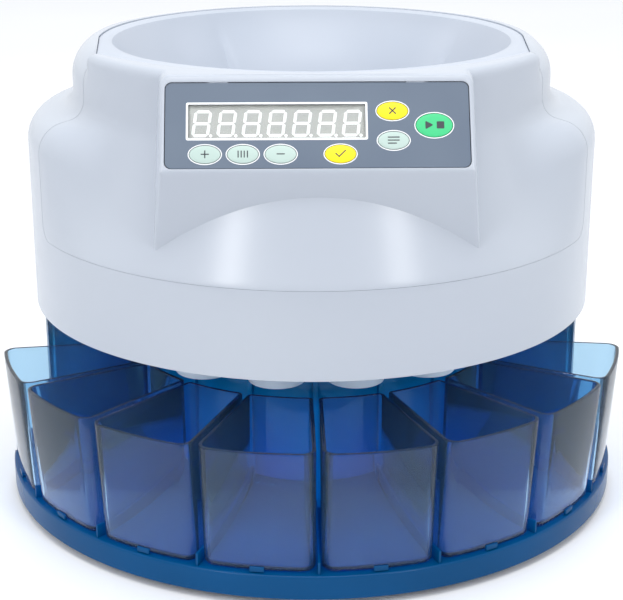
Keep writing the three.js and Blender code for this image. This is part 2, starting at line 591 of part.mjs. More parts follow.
// ---- Sorting drive ----
function makeDrive() {
  const pinionDistance = (GEAR_MODULE * (GEAR_TEETH + PINION_TEETH)) / 2;
  const gearLow = deckTop + 4;
  const gearHigh = gearLow + GEAR_WIDTH;
  const bearingRadius = 3 * SHAFT_RADIUS;

  let deck = ring(bearingRadius + GAP, SKIRT_RADIUS - HOUSING_WALL - 1, deckLow, deckTop);
  deck = cut(deck, rod(6, deckLow - 1, deckTop + 1).translate([0, pinionDistance, 0]));
  const postAngles = [0, 41, -41, 110, -110, 180];
  for (const angle of postAngles) {
    const post = rod(POST_RADIUS, deckTop - 1, plateLow - GAP, 12);
    deck = join(deck, turnedBy(post.translate([0, -outletCentre - POST_OFFSET, 0]), angle));
  }
  const holeSize = (i) => lerp(SMALLEST_HOLE, LARGEST_HOLE, i / (CUP_COUNT - 1));
  let track = join(
    ring(trackInner, trackOuter, plateLow, plateTop),
    ring(trackOuter - 2, trackOuter, plateTop - 1, plateTop + 7),
  );
  const lip = 1.2;
  cupAngles.forEach((angle, i) => {
    const centre = [0, -outletCentre, 0];
    deck = cut(deck, turnedBy(rod(outletRadius + GAP, 0, top).translate(centre), angle));
    track = cut(track, turnedBy(rod(holeSize(i), 0, top).translate(centre), angle));
    const tube = join(
      ring(outletBore, outletRadius, outletLow, plateLow - GAP, SMALL_FACETS),
      ring(outletBore, outletRadius + lip, deckTop + GAP, deckTop + 2, SMALL_FACETS),
    );
    place("coin_outlet_" + (i + 1), turnedBy(tube.translate(centre), angle), "white");
  });
  place("chassis_deck", deck, "white");
  place("sorting_plate", track, "steel");

  const boardLow = plateTop + 9;
  const sensorSpan = (CUP_PITCH * CUP_COUNT) / 2;
  const sensorShape = band(outletCentre + 4, outletCentre + 16, -sensorSpan, sensorSpan);
  place("sensor_board", prism(sensorShape, boardLow, boardLow + 1.6), "board");

  const discRadius = trackInner - 0.7;
  const discLow = plateTop - DISC_THICKNESS;
  const bore = SHAFT_RADIUS + GAP;
  const hub = 3.5 * SHAFT_RADIUS;
  const disc = [
    [hub, gearHigh + 2], [hub, discLow], [discRadius, discLow], [discRadius, plateTop], [hub + 6, plateTop],
    [hub, plateTop + 4], [bore, plateTop + 4], [bore, gearHigh + 2],
  ];
  place("coin_disc", turned(disc), "steel");
  const capLow = plateTop + 4 + GAP;
  const shaftHigh = capLow + 3;
  const cap = [
    [0, shaftHigh + GAP], [bore, shaftHigh + GAP], [bore, capLow], [hub - 1, capLow], [hub - 1, capLow + 5],
    [hub - 5, capLow + 8], [0, capLow + 9],
  ];
  place("disc_cap", turned(cap, SMALL_FACETS), "black");
  place("disc_shaft", rod(SHAFT_RADIUS, deckLow - 6, shaftHigh), "steel");
  place("shaft_bearing", ring(bore, bearingRadius, deckLow - 4, deckTop + 3, SMALL_FACETS), "white");
  const gearBore = rod(bore, 0, top);
  const gear = cut(prism(gearOutline(GEAR_TEETH, 180), gearLow, gearHigh), gearBore);
  place("drive_gear", gear, "white");

  const pinionShaft = 2.5;
  const toMotor = [0, pinionDistance, 0];
  const pinion = join(
    prism(gearOutline(PINION_TEETH, 180 / PINION_TEETH), gearLow, gearHigh),
    rod(pinionShaft, deckLow - 12, gearLow + 1, 16),
  );
  place("motor_pinion", pinion.translate(toMotor), "steel");
  const motorHigh = deckLow - 1;
  const motorLow = motorHigh - MOTOR_LENGTH;
  const motorOutline = [
    [0, motorLow], [MOTOR_RADIUS - 2, motorLow], [MOTOR_RADIUS, motorLow + 2], [MOTOR_RADIUS, motorHigh - 6],
    [8, motorHigh - 6], [8, motorHigh], [pinionShaft + GAP, motorHigh], [pinionShaft + GAP, motorHigh - 14],
    [0, motorHigh - 14],
  ];
  place("drive_motor", turned(motorOutline, 32).translate(toMotor), "steel");

  const [supplyWidth, supplyDepth, supplyHeight] = [64, 40, 34];
  const supplyFront = pinionDistance + MOTOR_RADIUS + 12;
  const supply = block(
    [-supplyWidth / 2, supplyFront, cupLow],
    [supplyWidth / 2, supplyFront + supplyDepth, cupLow + supplyHeight],
  );
  place("power_supply", supply, "black");
}

// ---- Rear connections ----
const rearPanelLow = skirtLow + 7;
const rearFace = Math.sqrt(SKIRT_RADIUS ** 2 - (REAR_PANEL_WIDTH / 2) ** 2) - 1.5;

// A box on the rear panel: centred on x, of this width and height, from depth a to depth b behind its face.
function rearBlock(x, width, height, from, to) {
  const z = rearPanelLow + REAR_PANEL_HEIGHT / 2;
  const [w, h] = [width / 2, height / 2];
  return block([x - w, rearFace + from, z - h], [x + w, rearFace + to, z + h]);
}

function makeRear() {
  const flangeHigh = GAP + FLANGE_THICKNESS;
  let plate = rearBlock(0, REAR_PANEL_WIDTH, REAR_PANEL_HEIGHT, -REAR_PANEL_THICKNESS, 0);
  const [inletWidth, inletHeight, inletDepth] = [27, 20, 15];
  const [portWidth, portHeight, portDepth] = [15, 12, 13];
  const [switchWidth, switchHeight, switchDepth] = [13.6, 19, 14];
  const rockerWidth = 10;
  const rockerHeight = 14;
  plate = cut(
    plate,
    rearBlock(INLET_PLACE, inletWidth + 2 * GAP, inletHeight + 2 * GAP, -9, 9),
    rearBlock(PORT_PLACE, portWidth + 2 * GAP, portHeight + 2 * GAP, -9, 9),
    rearBlock(SWITCH_PLACE, switchWidth + 2 * GAP, switchHeight + 2 * GAP, -9, 9),
  );
  place("rear_panel", plate, "black");

  let inlet = join(
    rearBlock(INLET_PLACE, inletWidth, inletHeight, -inletDepth, flangeHigh),
    rearBlock(INLET_PLACE, inletWidth + 4, inletHeight + 4, GAP, flangeHigh),
  );
  inlet = cut(inlet, rearBlock(INLET_PLACE, inletWidth - 4, inletHeight - 4, -inletDepth + 2, 9));
  for (const [x, z] of [[-7, -2], [7, -2], [0, 3]]) {
    const pin = rearBlock(INLET_PLACE + x, 2, 4, -inletDepth + 1, -4);
    inlet = join(inlet, pin.translate([0, 0, z]));
  }
  place("power_inlet", inlet, "black");

  const port = join(
    rearBlock(PORT_PLACE, portWidth, portHeight, -portDepth, flangeHigh),
    rearBlock(PORT_PLACE, portWidth + 3, portHeight + 3, GAP, flangeHigh),
  );
  const socket = rearBlock(PORT_PLACE, portWidth - 3, portHeight - 3, -portDepth + 2, 9);
  place("data_port", cut(port, socket), "steel");

  const holder = join(
    rearBlock(SWITCH_PLACE, switchWidth, switchHeight, -switchDepth, flangeHigh),
    rearBlock(SWITCH_PLACE, switchWidth + 3, switchHeight + 3, GAP, flangeHigh),
  );
  const well = rearBlock(SWITCH_PLACE, rockerWidth + 2 * GAP, rockerHeight + 5 * GAP, -8, 9);
  place("switch_housing", cut(holder, well), "black");
  place("power_rocker", rearBlock(SWITCH_PLACE, rockerWidth, rockerHeight, -1.8, 3.2), "black");
}

makeBase();
makeColumn();
makeHousing();
makePanel();
makeHopper();
makeCups();
makeDrive();
makeRear();

export default machine;
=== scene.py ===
"""Eight-channel coin sorting machine: the finished look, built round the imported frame.

Pieces are drawn in millimetres about the round body's upright axis and then placed in metres.
An angle is counted from the front (-Y) towards +X.
"""

import json
import math

import bmesh
import bpy
from mathutils import Matrix, Vector


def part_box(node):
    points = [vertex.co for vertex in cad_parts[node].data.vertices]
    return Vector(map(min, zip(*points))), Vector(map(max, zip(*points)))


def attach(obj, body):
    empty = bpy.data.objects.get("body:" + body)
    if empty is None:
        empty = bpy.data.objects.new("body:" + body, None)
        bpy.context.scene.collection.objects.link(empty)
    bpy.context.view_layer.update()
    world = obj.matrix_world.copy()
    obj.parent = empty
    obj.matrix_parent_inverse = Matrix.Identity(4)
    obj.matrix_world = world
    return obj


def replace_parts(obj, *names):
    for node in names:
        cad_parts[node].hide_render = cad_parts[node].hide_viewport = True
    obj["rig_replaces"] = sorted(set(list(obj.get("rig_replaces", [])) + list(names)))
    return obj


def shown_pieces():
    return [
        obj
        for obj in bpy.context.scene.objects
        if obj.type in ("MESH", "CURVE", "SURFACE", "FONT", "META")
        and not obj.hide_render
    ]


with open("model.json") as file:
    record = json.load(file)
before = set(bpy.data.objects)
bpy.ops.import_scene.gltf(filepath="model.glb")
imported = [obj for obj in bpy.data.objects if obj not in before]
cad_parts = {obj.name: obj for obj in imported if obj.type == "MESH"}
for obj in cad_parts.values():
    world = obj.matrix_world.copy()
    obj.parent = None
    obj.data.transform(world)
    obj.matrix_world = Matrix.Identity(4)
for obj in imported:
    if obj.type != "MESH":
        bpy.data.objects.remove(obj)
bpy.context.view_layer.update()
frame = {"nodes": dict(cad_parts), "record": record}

MM = 0.001
GAP = 0.3  # clearance between neighbouring parts
WELD = 0.001  # points closer than this become one
FULL_TURN = 2 * math.pi


# ---- Sizes read from the frame ----
def middle(node):
    low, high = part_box(node)
    return (low + high) / 2


AXIS_Y = middle("coin_disc").y


def corners(node):
    """Lowest and highest corner of a CAD node, in millimetres about the axis."""
    shift = Vector((0, AXIS_Y, 0))
    return tuple((corner - shift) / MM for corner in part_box(node))


SKIRT = corners("main_housing")[1].x
SKIRT_LOW = corners("main_housing")[0].z
TOP = corners("hopper")[1].z
CREASE = corners("front_cover")[0].z - GAP
FLANGE = corners("hopper")[1].x
TOWER = FLANGE + 13
SHOULDER = TOP - 38.5
HOPPER_LOW = corners("hopper")[0].z
BOWL_RIM = FLANGE - 9.5
THROAT = 64.0
WALL = 2.5

TRAY_LOW = corners("base_tray")[0].z
CUP_LOW, CUP_TOP = corners("coin_cup_1")[0].z, corners("coin_cup_1")[1].z
TRAY_TOP = CUP_LOW - GAP
CUP_COUNT = 8
CUP_PITCH = 20.5
CUP_RIM = SKIRT + 20.5
CUP_FOOT = CUP_RIM - 4.5
CUP_REAR = 104.0
CUP_WALL = 2.2
CUP_ANGLES = [(i - (CUP_COUNT - 1) / 2) * CUP_PITCH for i in range(CUP_COUNT)]
RIB_ANGLES = [(i - CUP_COUNT / 2) * CUP_PITCH for i in range(CUP_COUNT + 1)]
TRAY_FRONT = CUP_RIM - 2
TRAY_REAR = SKIRT - 3
TRAY_ANGLE = 84.0
COLUMN = -corners("inner_column")[0].y - 2.2
OUTLET_CENTRE = CUP_REAR + 9.5

PANEL_LEAN = math.radians(32)
BEZEL_WIDTH, BEZEL_HEIGHT = 149.6, 47.2
OVERLAY_WIDTH, OVERLAY_HEIGHT = 144.6, 42.8
OVERLAY_FACE = -0.5
RECESS = 5.0
PANEL_CENTRE = Vector((
    0,
    -TOWER + 11 - BEZEL_HEIGHT / 2 * math.sin(PANEL_LEAN),
    TOP - 1.5 - BEZEL_HEIGHT / 2 * math.cos(PANEL_LEAN),
))
PANEL = Matrix.Translation(PANEL_CENTRE) @ Matrix.Rotation(math.pi / 2 - PANEL_LEAN, 4, "X")


# ---- Outlines ----
def polar(radius, angle, z=0.0):
    a = math.radians(angle)
    return Vector((radius * math.sin(a), -radius * math.cos(a), z))


def lerp(a, b, share):
    return a + (b - a) * share


def ease(value, start, end):
    """0 before start, 1 after end, smooth in between."""
    t = min(max((value - start) / (end - start), 0.0), 1.0)
    return t * t * (3 - 2 * t)


def quarter(steps):
    """The angles of a quarter turn in equal steps, for a rounded corner."""
    return [math.pi / 2 * k / steps for k in range(steps + 1)]


def rounded(points, closed=False, turn=9.0):
    """A flat line through (x, y, radius) corners, each corner an arc with a point every few degrees."""
    line = []
    count = len(points)
    for i, (x, y, radius) in enumerate(points):
        here = Vector((x, y))
        if radius <= 0 or (not closed and i in (0, count - 1)):
            line.append(here)
            continue
        back = (Vector(points[i - 1][:2]) - here).normalized()
        ahead = (Vector(points[(i + 1) % count][:2]) - here).normalized()
        angle = back.angle(ahead)
        bend = math.pi - angle
        steps = max(2, math.ceil(math.degrees(bend) / turn))
        centre = here + (back + ahead).normalized() * (radius / math.sin(angle / 2))
        start = here + back * (radius / math.tan(angle / 2)) - centre
        side = 1 if back.cross(ahead) < 0 else -1
        for k in range(steps + 1):
            line.append(centre + Matrix.Rotation(side * bend * k / steps, 2) @ start)
    return line


def spread(line, count):
    """The same line with its points evenly spaced."""
    lengths = [(b - a).length for a, b in zip(line, line[1:])]
    total = sum(lengths)
    out, span, before = [], 0, 0.0
    for i in range(count):
        goal = total * i / (count - 1)
        while span < len(lengths) - 1 and before + lengths[span] < goal:
            before += lengths[span]
            span += 1
        out.append(line[span].lerp(line[span + 1], (goal - before) / lengths[span]))
    return out


def ellipse(width, height, x=0.0, y=0.0, grow=0.0, steps=48):
    w, h = width / 2 + grow, height / 2 + grow
    turns = [2 * math.pi * i / steps for i in range(steps)]
    return [Vector((x + w * math.cos(t), y + h * math.sin(t))) for t in turns]


def rectangle(width, height, corner, x=0.0, y=0.0):
    w, h = width / 2, height / 2
    spots = [(x + w, y + h), (x - w, y + h), (x - w, y - h), (x + w, y - h)]
    return rounded([(a, b, corner) for a, b in spots], closed=True, turn=15)


# ---- Mesh building ----
def add_loop(bm, points):
    """A closed ring of edges through 3-D points."""
    verts = [bm.verts.new(p) for p in points]
    return [bm.edges.new((a, b)) for a, b in zip(verts, verts[1:] + verts[:1])]


def spin_round(bm, geometry, steps):
    """Turns an outline right round the upright axis."""
    bmesh.ops.spin(
        bm, geom=geometry, cent=(0, 0, 0), axis=(0, 0, 1), angle=FULL_TURN, steps=steps, use_merge=True
    )
    bmesh.ops.remove_doubles(bm, verts=bm.verts, dist=WELD)


def spun(outline, steps=128):
    """A (radius, height) outline turned right round. It closes on itself unless it starts on the axis."""
    bm = bmesh.new()
    verts = [bm.verts.new(polar(r, 0, z)) for r, z in outline]
    edges = [bm.edges.new(pair) for pair in zip(verts, verts[1:])]
    if outline[0][0] > 1e-6:
        edges.append(bm.edges.new((verts[-1], verts[0])))
    spin_round(bm, verts + edges, steps)
    return bm


def plate(loops, low, high):
    """A flat sheet with an outer outline and holes, between two heights."""
    bm = bmesh.new()
    edges = [e for loop in loops for e in add_loop(bm, [(p[0], p[1], high) for p in loop])]
    bmesh.ops.triangle_fill(bm, edges=edges, use_beauty=True, use_dissolve=True)
    pushed = bmesh.ops.extrude_face_region(bm, geom=bm.faces[:])["geom"]
    verts = [g for g in pushed if isinstance(g, bmesh.types.BMVert)]
    bmesh.ops.translate(bm, vec=(0, 0, low - high), verts=verts)
    return bm


def stack(loops, caps=True):
    """A body through closed rings of the same number of points, from the first to the last."""
    bm = bmesh.new()
    rings = [add_loop(bm, loop) for loop in loops]
    for lower, upper in zip(rings, rings[1:]):
        bmesh.ops.bridge_loops(bm, edges=lower + upper)
    if caps:
        for ring in (rings[0], rings[-1]):
            bmesh.ops.holes_fill(bm, edges=ring, sides=0)
    return bm


def box(low, high):
    bm = bmesh.new()
    bmesh.ops.create_cube(bm, size=1.0)
    low, high = Vector(low), Vector(high)
    bmesh.ops.scale(bm, vec=high - low, verts=bm.verts)
    bmesh.ops.translate(bm, vec=(low + high) / 2, verts=bm.verts)
    return bm


def round_edges(bm, offset, pick=None, segments=3, least=25.0):
    """Rounds the edges that turn by more than least degrees, or those that pick chooses."""
    bm.normal_update()
    sharp = [e for e in bm.edges if len(e.link_faces) == 2 and math.degrees(e.calc_face_angle(0)) > least]
    chosen = [e for e in sharp if pick is None or pick(e)]
    bmesh.ops.bevel(
        bm, geom=chosen, offset=offset, offset_type="OFFSET", segments=segments, profile=0.5,
        affect="EDGES", clamp_overlap=True, material=-1,
    )
    return bm


def merge(parts):
    """Several bodies as one mesh."""
    whole = bmesh.new()
    for bm in parts:
        spare = bpy.data.meshes.new("spare")
        bm.to_mesh(spare)
        bm.free()
        whole.from_mesh(spare)
        bpy.data.meshes.remove(spare)
    return whole


def turned(bm, angle):
    bmesh.ops.rotate(bm, cent=(0, 0, 0), matrix=Matrix.Rotation(math.radians(angle), 3, "Z"), verts=bm.verts)
    return bm


def moved(bm, x=0.0, y=0.0, z=0.0):
    bmesh.ops.translate(bm, vec=(x, y, z), verts=bm.verts)
    return bm


def combined(base, tool, operation):
    """One body joined with, or cut by, another."""
    objects = []
    for bm, name in ((base, "base"), (tool, "tool")):
        bmesh.ops.recalc_face_normals(bm, faces=bm.faces)
        mesh = bpy.data.meshes.new(name)
        bm.to_mesh(mesh)
        bm.free()
        objects.append(bpy.data.objects.new(name, mesh))
        bpy.context.scene.collection.objects.link(objects[-1])
    modifier = objects[0].modifiers.new("boolean", "BOOLEAN")
    modifier.operation, modifier.solver, modifier.object = operation, "MANIFOLD", objects[1]
    result = bmesh.new()
    depsgraph = bpy.context.evaluated_depsgraph_get()
    result.from_mesh(objects[0].evaluated_get(depsgraph).to_mesh())
    for obj in objects:
        mesh = obj.data
        bpy.data.objects.remove(obj)
        bpy.data.meshes.remove(mesh)
    return result


def settle(bm, name, material, body="housing", stands_for=(), smooth=32.0, on_panel=False):
    """Makes a finished piece of a bmesh: closed, facing out, in place in metres, riding on its body."""
    bmesh.ops.remove_doubles(bm, verts=bm.verts, dist=2 * WELD)
    bmesh.ops.recalc_face_normals(bm, faces=bm.faces)
    if on_panel:
        bm.transform(PANEL)
    bm.transform(Matrix.Translation((0, AXIS_Y, 0)) @ Matrix.Scale(MM, 4))
    mesh = bpy.data.meshes.new(name)
    bm.to_mesh(mesh)
    bm.free()
    mesh.materials.append(material)
    mesh.shade_smooth()
    mesh.set_sharp_from_angle(angle=math.radians(smooth))
    piece = bpy.data.objects.new(name, mesh)
    bpy.context.scene.collection.objects.link(piece)
    if stands_for:
        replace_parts(piece, *stands_for)
    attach(piece, body)
    return piece


def refined(node, name, material, body="housing", edge=0.3, segments=2):
    """A CAD node's own shape with its edges rounded."""
    bm = bmesh.new()
    bm.from_mesh(frame["nodes"][node].data)
    bm.transform(Matrix.Scale(1 / MM, 4) @ Matrix.Translation((0, -AXIS_Y, 0)))
    bmesh.ops.remove_doubles(bm, verts=bm.verts, dist=2 * WELD)
    bmesh.ops.dissolve_limit(bm, angle_limit=math.radians(1), verts=bm.verts, edges=bm.edges)
    round_edges(bm, edge, segments=segments, least=35)
    return settle(bm, name, material, body, (node,))


# ---- Materials ----
def linear(code):
    """An sRGB hex colour as linear RGBA."""
    parts = [int(code[i : i + 2], 16) / 255 for i in (0, 2, 4)]
    return (*[c / 12.92 if c <= 0.04045 else ((c + 0.055) / 1.055) ** 2.4 for c in parts], 1.0)


def add(tree, kind, settings=None, inputs=None):
    """Adds a node with its settings, and its inputs as values or as links."""
    node = tree.nodes.new(kind)
    for key, value in (settings or {}).items():
        setattr(node, key, value)
    for key, value in (inputs or {}).items():
        if isinstance(value, bpy.types.NodeSocket):
            tree.links.new(value, node.inputs[key])
        else:
            node.inputs[key].default_value = value
    return node


def start_material(name):
    material = bpy.data.materials.new(name)
    material.use_nodes = True
    tree = material.node_tree
    tree.nodes.clear()
    return material, tree


def finish_material(tree, shader):
    add(tree, "ShaderNodeOutputMaterial", inputs={"Surface": shader.outputs["BSDF"]})


def mapped(tree, coords, change, amount):
    """Coordinates scaled or moved."""
    return add(tree, "ShaderNodeMapping", None, {"Vector": coords, change: amount}).outputs["Vector"]


def noise(tree, coords, size_mm, detail=2.0):
    """Noise whose blotches are about size_mm across."""
    made = add(
        tree, "ShaderNodeTexNoise", {"noise_dimensions": "3D"},
        {"Vector": coords, "Scale": 1 / (size_mm * MM), "Detail": detail, "Roughness": 0.55},
    )
    return made.outputs["Fac"]


def blend(tree, factor, first, second):
    """A colour between two, by a factor."""
    made = add(
        tree, "ShaderNodeMix", {"data_type": "RGBA"},
        {"Factor": factor, "A": first, "B": second},
    )
    return made.outputs["Result"]


def scaled(tree, value, low, high, start=0.3, end=0.7):
    """A value from start to end spread over low to high."""
    made = add(
        tree, "ShaderNodeMapRange", None,
        {"Value": value, "From Min": start, "From Max": end, "To Min": low, "To Max": high},
    )
    return made.outputs["Result"]


def bump(tree, height, depth_mm, strength=1.0):
    made = add(
        tree, "ShaderNodeBump", None,
        {"Height": height, "Distance": depth_mm * MM, "Strength": strength},
    )
    return made.outputs["Normal"]


def moulded(
    name, light, dark, rough=(0.3, 0.38), grain_mm=0.9, grain_depth=0.006, mottle_mm=60.0, **shader
):
    """Injection-moulded plastic: a fine spark-eroded grain, slow colour drift from the flow of the melt."""
    material, tree = start_material(name)
    coords = add(tree, "ShaderNodeTexCoord").outputs["Object"]
    drift = scaled(tree, noise(tree, coords, mottle_mm, 1.0), 0.0, 1.0)
    grain = noise(tree, coords, grain_mm, 3.0)
    inputs = {
        "Base Color": blend(tree, drift, linear(light), linear(dark)),
        "Roughness": scaled(tree, noise(tree, coords, 45.0, 0.0), *rough, 0.0, 1.0),
        "Normal": bump(tree, grain, grain_depth),
    }
    finish_material(tree, add(tree, "ShaderNodeBsdfPrincipled", None, {**inputs, **shader}))
    return material


def clear_plastic(
    name, tint, deep, ior, rough=(0.02, 0.06), weight=1.0, depth_tint=None, lamp_tint=None
):
    """Clear tinted plastic: glossy walls with faint flow lines, so what is behind them swims a little.

    depth_tint is a colour and a density that darken it along the way through, so that edges look deep.
    lamp_tint is the colour of the light that each face lets through to what is behind.
    """
    material, tree = start_material(name)
    coords = add(tree, "ShaderNodeTexCoord").outputs["Object"]
    flow = mapped(tree, coords, "Scale", (1.0, 1.0, 0.25))
    drift = scaled(tree, noise(tree, flow, 30.0), 0.0, 1.0)
    inputs = {
        "Base Color": blend(tree, drift, linear(tint), linear(deep)),
        "Roughness": scaled(tree, noise(tree, coords, 40.0, 0.0), *rough, 0.0, 1.0),
        "Normal": bump(tree, noise(tree, flow, 14.0, 1.0), 0.05, 0.5),
        "Transmission Weight": weight,
        "IOR": ior,
    }
    shader = add(tree, "ShaderNodeBsdfPrincipled", None, inputs)
    surface = {"Surface": shader.outputs["BSDF"]}
    if lamp_tint:
        lamps = add(tree, "ShaderNodeLightPath").outputs["Is Shadow Ray"]
        pane = add(tree, "ShaderNodeBsdfTransparent", None, {"Color": linear(lamp_tint)})
        sides = {0: lamps, 1: shader.outputs["BSDF"], 2: pane.outputs["BSDF"]}
        mixed = add(tree, "ShaderNodeMixShader", None, sides)
        surface = {"Surface": mixed.outputs["Shader"]}
    if depth_tint:
        colour, density = depth_tint
        inputs = {"Color": linear(colour), "Density": density}
        volume = add(tree, "ShaderNodeVolumeAbsorption", None, inputs)
        surface["Volume"] = volume.outputs["Volume"]
    add(tree, "ShaderNodeOutputMaterial", inputs=surface)
    return material


def metal(name, light, dark, rough, brush_scale, grain_depth=0.004):
    """Bare metal with fine marks drawn out along one direction, coarser than life so that they show."""
    material, tree = start_material(name)
    coords = add(tree, "ShaderNodeTexCoord").outputs["Object"]
    along = mapped(tree, coords, "Scale", brush_scale)
    marks = noise(tree, along, 1.2, 4.0)
    inputs = {
        "Base Color": blend(tree, scaled(tree, marks, 0.0, 1.0), linear(light), linear(dark)),
        "Metallic": 1.0,
        "Roughness": scaled(tree, marks, *rough),
        "Normal": bump(tree, marks, grain_depth),
    }
    finish_material(tree, add(tree, "ShaderNodeBsdfPrincipled", None, inputs))
    return material


def turned_metal(name, light, dark, rough):
    """Metal faced on a lathe: fine rings round the axis that catch the light."""
    material, tree = start_material(name)
    coords = add(tree, "ShaderNodeTexCoord").outputs["Object"]
    centred = mapped(tree, coords, "Location", (0, -AXIS_Y, 0))
    # tool marks 1.4 mm apart, wider than real ones so that they show
    rings = add(
        tree, "ShaderNodeTexWave", {"wave_type": "RINGS", "rings_direction": "Z"},
        {"Vector": centred, "Scale": 110.0, "Distortion": 0.6, "Detail": 2.0, "Detail Scale": 2.0},
    ).outputs["Fac"]
    inputs = {
        "Base Color": blend(tree, noise(tree, coords, 18.0, 3.0), linear(light), linear(dark)),
        "Metallic": 1.0,
        "Roughness": scaled(tree, rings, *rough),
        "Normal": bump(tree, rings, 0.008, 0.6),
    }
    finish_material(tree, add(tree, "ShaderNodeBsdfPrincipled", None, inputs))
    return material


def circuit_board(name):
    """Solder-masked glass-fibre board: green lacquer over copper tracks."""
    material, tree = start_material(name)
    coords = add(tree, "ShaderNodeTexCoord").outputs["Object"]
    tracks = add(
        tree, "ShaderNodeTexBrick", None,
        {"Vector": coords, "Scale": 160.0, "Mortar Size": 0.03, "Color1": linear("1B5A37"),
         "Color2": linear("1F6A40"), "Mortar": linear("3C8A58")},
    )
    inputs = {
        "Base Color": tracks.outputs["Color"],
        "Roughness": 0.35,
        "Normal": bump(tree, tracks.outputs["Fac"], 0.03),
    }
    finish_material(tree, add(tree, "ShaderNodeBsdfPrincipled", None, inputs))
    return material


# Moulded ABS, cool white: satin gloss that draws highlights out into soft bands
HOUSING_ABS = moulded("moulded_abs_cool_white", "B8BFCA", "B5BCC8", (0.24, 0.265), 1.6, 0.0012, 120.0)
# The bowl is the same plastic with a silkier face and a lavender cast
HOPPER_ABS = moulded("silk_abs_lavender", "BCC3CF", "B4BCC9", (0.36, 0.46), grain_depth=0.01)
# Deep blue ABS of the tray: glossy rim, with little of the pale room mirrored in it
TRAY_ABS = moulded(
    "moulded_abs_deep_blue", "00497C", "004372", (0.22, 0.265), 1.6, 0.001,
    **{"Specular IOR Level": 0.15},
)
# Blue polycarbonate of the column: mostly opaque, with a little light coming through
COLUMN_PC = clear_plastic("blue_polycarbonate", "008CCC", "0080C0", 1.4, (0.12, 0.2), 0.2)
# Blue polycarbonate of the rear shell: light comes through, and shapes behind stay vague
SHELL_PC = clear_plastic(
    "blue_polycarbonate_shell", "2F86B8", "1E70A8", 1.5, (0.12, 0.2), 0.85, lamp_tint="A8D4F0"
)
# Smoky blue polystyrene of the cups: clear, hard and glossy
CUP_STYRENE = clear_plastic(
    "smoke_blue_styrene", "C6E8F8", "BEE3F6", 1.36, weight=0.975,
    depth_tint=("1E90E0", 45.0), lamp_tint="CCEAFC",
)
# Printed polycarbonate film on the console: slate blue ink under a fine matt face
OVERLAY_FILM = moulded("printed_film_slate", "647284", "5C6A7E", (0.38, 0.46), 0.5, 0.004, 45.0)
# Screen-printed inks on the film and on the keys
PRINT_WHITE = moulded("screen_print_white", "F6F8FA", "EEF1F5", (0.4, 0.5), 0.5, 0.004)
PRINT_DARK = moulded("screen_print_charcoal", "3A4048", "32373F", (0.4, 0.5), 0.5, 0.004)
# Dyed silicone rubber of the keys: matt, with a slight grain
KEY_MINT = moulded("silicone_key_mint", "BFD3CD", "B4CAC4", (0.42, 0.52), 0.6)
KEY_YELLOW = moulded("silicone_key_yellow", "FFEA0A", "F8DC00", (0.42, 0.52), 0.6)
KEY_GREEN = moulded("silicone_key_green", "43D08A", "34C27B", (0.42, 0.52), 0.6)
# The display: grey face, milky light bars that are switched off, and the clear pane before them
DISPLAY_GROUND = moulded("display_face_grey", "A0A19C", "989994", (0.3, 0.4), 0.5, 0.003)
SEGMENT_WHITE = moulded("display_segment_milky", "F6F8F5", "ECEFEC", (0.25, 0.35), 0.5, 0.003)
WINDOW_PC = clear_plastic(
    "clear_polycarbonate_window", "FAFBFC", "F4F6F8", 1.3, (0.04, 0.08), lamp_tint="FBFCFD"
)
# Textured black ABS of the sockets, the switch and the disc's cap
BLACK_ABS = moulded("moulded_abs_black", "222428", "1A1C1F", (0.42, 0.55), 0.8, 0.02)
# Slippery white acetal of the outlets and the deck
WHITE_ACETAL = moulded("moulded_acetal_white", "ECEEF3", "E2E5EB", (0.32, 0.42), 1.0, 0.008)
# Dull black rubber of the feet
FOOT_RUBBER = moulded("moulded_rubber_black", "1E1E1F", "161617", (0.65, 0.8), 1.2, 0.05)
# Zinc-plated sheet steel, and aluminium faced on a lathe
STEEL = metal("zinc_plated_steel", "B9BCC2", "9DA1A8", (0.28, 0.42), (1.0, 0.08, 1.0))
TRACK_ALUMINIUM = turned_metal("turned_aluminium", "D3D5D8", "BFC2C6", (0.22, 0.38))
BOARD = circuit_board("solder_masked_board")


# ---- Housing ----
def flange_edge(angle):
    """Radius of the hopper flange's outline: a flat arc in front, a straight side and a round back."""
    corner, arc, lean = 61.9, 136.0, 0.0836
    flat, pinch = 4.4, 1.67
    side, back = FLANGE - pinch, arc - (FLANGE - flat)
    a = abs((angle + 180) % 360 - 180)
    t = math.radians(a)
    if a <= corner:
        return -back * math.cos(t) + math.sqrt(arc**2 - (back * math.sin(t)) ** 2)
    if a <= 90:
        return side / (math.sin(t) + lean * math.cos(t))
    return side + pinch * ease(a, 90, 130)


def mouth_edge(angle):
    """The flange's outline with the seam round it: where the housing's own edge runs."""
    return flange_edge(angle) + 0.35


